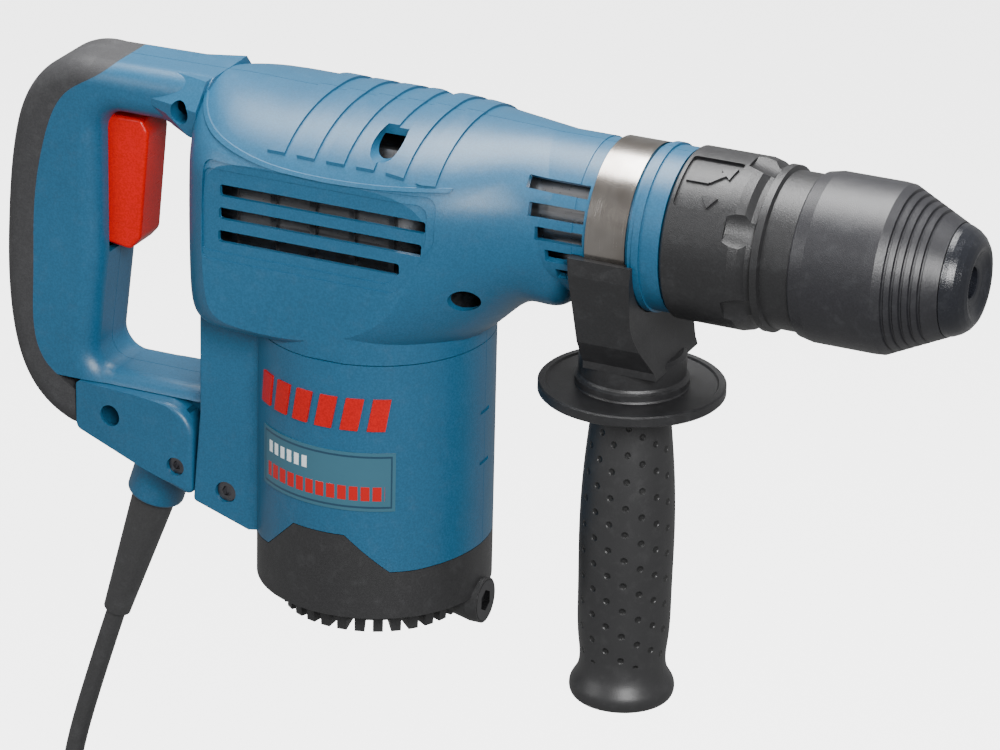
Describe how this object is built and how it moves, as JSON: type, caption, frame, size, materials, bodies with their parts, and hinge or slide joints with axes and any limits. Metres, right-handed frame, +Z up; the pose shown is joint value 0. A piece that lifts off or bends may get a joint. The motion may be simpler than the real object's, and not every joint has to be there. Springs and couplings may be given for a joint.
{
  "type": "electric demolition hammer",
  "caption": "Blue corded demolition hammer with D-grip and red trigger, upright motor, ribbed gear housing, black chuck with locking sleeve, and clamped side handle.",
  "frame": {"origin": "middle of the rear grip, between palm and fingers, in the plane of symmetry", "axes": "+X forward along the barrel towards the chuck, +Y to the left seen from the user, +Z up"},
  "size_m": [0.4296, 0.0974, 0.5221],
  "materials": {
    "blue_plastic": "satin moulded",
    "grey_rubber": "soft matt",
    "black_plastic": "fine texture",
    "cap_plastic": "fine texture",
    "red_plastic": "satin",
    "red_print": "gloss",
    "plate_print": "satin label",
    "black_rubber": "satin",
    "grip_rubber": "dimpled",
    "cord_rubber": "satin",
    "steel_band": "brushed",
    "steel_dark": "hardened",
    "steel_bright": "ground",
    "screw_steel": "zinc plated",
    "alu_case": "die cast",
    "copper_winding": "enamelled",
    "iron_core": "laminated",
    "brass_part": "plain",
    "fan_plastic": "satin",
    "carbon": "matt"
  },
  "bodies": {
    "housing": {"upper_housing_right": "blue_plastic", "upper_housing_left": "blue_plastic", "motor_housing_right": "blue_plastic", "motor_housing_left": "blue_plastic", "grip_cover_right": "blue_plastic", "grip_cover_left": "blue_plastic", "cord_gland": "blue_plastic", "grip_pad": "grey_rubber", "motor_cap": "cap_plastic", "cap_screw": "steel_dark", "housing_screws": "screw_steel", "trigger_spring": "steel_bright", "switch_block": "black_plastic", "cord_boot": "cord_rubber", "cord_lead": "cord_rubber", "cord_coil": "cord_rubber", "cord_tail": "cord_rubber", "coil_tie": "black_plastic", "plug_body": "cord_rubber", "plug_pins": "brass_part", "bearing_outer_races": "steel_bright", "bearing_plate": "alu_case", "stator_core": "iron_core", "stator_winding": "copper_winding", "brushes": "carbon", "brush_holders": "brass_part", "gear_case": "alu_case", "cylinder_tube": "steel_bright", "guide_sleeve": "steel_dark", "rating_plates": "plate_print", "badge_bars": "red_print"},
    "trigger": {"trigger": "red_plastic"},
    "armature": {"armature_shaft": "steel_bright", "armature_core": "iron_core", "armature_winding": "copper_winding", "commutator": "copper_winding", "motor_fan": "fan_plastic", "bearing_inner_races": "steel_bright"},
    "crank": {"crank_wheel": "steel_dark", "crank_shaft": "steel_dark"},
    "rod": {"con_rod": "alu_case"},
    "piston": {"piston": "alu_case", "piston_ring": "black_rubber", "wrist_pins": "steel_bright"},
    "striker": {"striker": "steel_dark"},
    "tool_holder": {"tool_holder": "steel_dark", "lock_balls": "steel_bright", "position_core": "fan_plastic", "lock_spring": "steel_bright", "dust_cap": "black_rubber"},
    "bolt": {"impact_bolt": "steel_dark"},
    "position_ring": {"position_ring": "black_plastic"},
    "lock_sleeve": {"lock_sleeve": "black_rubber", "lock_ring": "steel_dark"},
    "side_handle": {"clamp_band": "steel_band", "bracket": "black_plastic", "tension_bolt": "screw_steel"},
    "side_grip": {"grip_disc": "black_plastic", "side_grip": "grip_rubber", "tension_nut": "screw_steel"}
  },
  "joints": [
    {"name": "trigger_press", "type": "slide", "parent": "housing", "child": "trigger", "axis": [-1, 0, 0], "range_m": [0, 0.006], "stiffness_N_per_m": 900, "springref_m": -0.004, "deforming": ["trigger_spring"]},
    {"name": "armature_spin", "type": "hinge", "parent": "housing", "child": "armature", "pos_m": [0.139, 0, -0.058], "axis": [0, 0, 1], "continuous": true},
    {"name": "crank_spin", "type": "hinge", "parent": "housing", "child": "crank", "pos_m": [0.10775, 0, 0.015], "axis": [0, 0, 1], "continuous": true},
    {"name": "rod_pivot", "type": "hinge", "parent": "crank", "child": "rod", "pos_m": [0.11575, 0, 0.0525], "axis": [0, 0, 1], "continuous": true},
    {"name": "piston_stroke", "type": "slide", "parent": "housing", "child": "piston", "axis": [1, 0, 0], "range_m": [-0.016, 0]},
    {"name": "striker_flight", "type": "slide", "parent": "housing", "child": "striker", "axis": [1, 0, 0], "range_m": [0, 0.006]},
    {"name": "holder_turn", "type": "hinge", "parent": "housing", "child": "tool_holder", "pos_m": [0.319, 0, 0.0525], "axis": [1, 0, 0], "continuous": true},
    {"name": "bolt_stroke", "type": "slide", "parent": "tool_holder", "child": "bolt", "axis": [1, 0, 0], "range_m": [0, 0.006]},
    {"name": "position_ring_slide", "type": "slide", "parent": "tool_holder", "child": "position_ring", "axis": [1, 0, 0], "range_m": [0, 0.004], "stiffness_N_per_m": 900, "springref_m": -0.003},
    {"name": "lock_sleeve_slide", "type": "slide", "parent": "tool_holder", "child": "lock_sleeve", "axis": [-1, 0, 0], "range_m": [0, 0.007], "stiffness_N_per_m": 700, "springref_m": -0.006, "deforming": ["lock_spring"]},
    {"name": "side_handle_swing", "type": "hinge", "parent": "housing", "child": "side_handle", "pos_m": [0.2494, 0, 0.0525], "axis": [1, 0, 0], "continuous": true},
    {"name": "side_grip_turn", "type": "hinge", "parent": "side_handle", "child": "side_grip", "pos_m": [0.2494, 0, -0.09], "axis": [0, 0, 1], "continuous": true}
  ],
  "couplings": [
    {"joint": "crank_spin", "follows": "armature_spin", "ratio": -0.31579},
    {"joint": "rod_pivot", "follows": "armature_spin", "ratio": 0.31579}
  ]
}
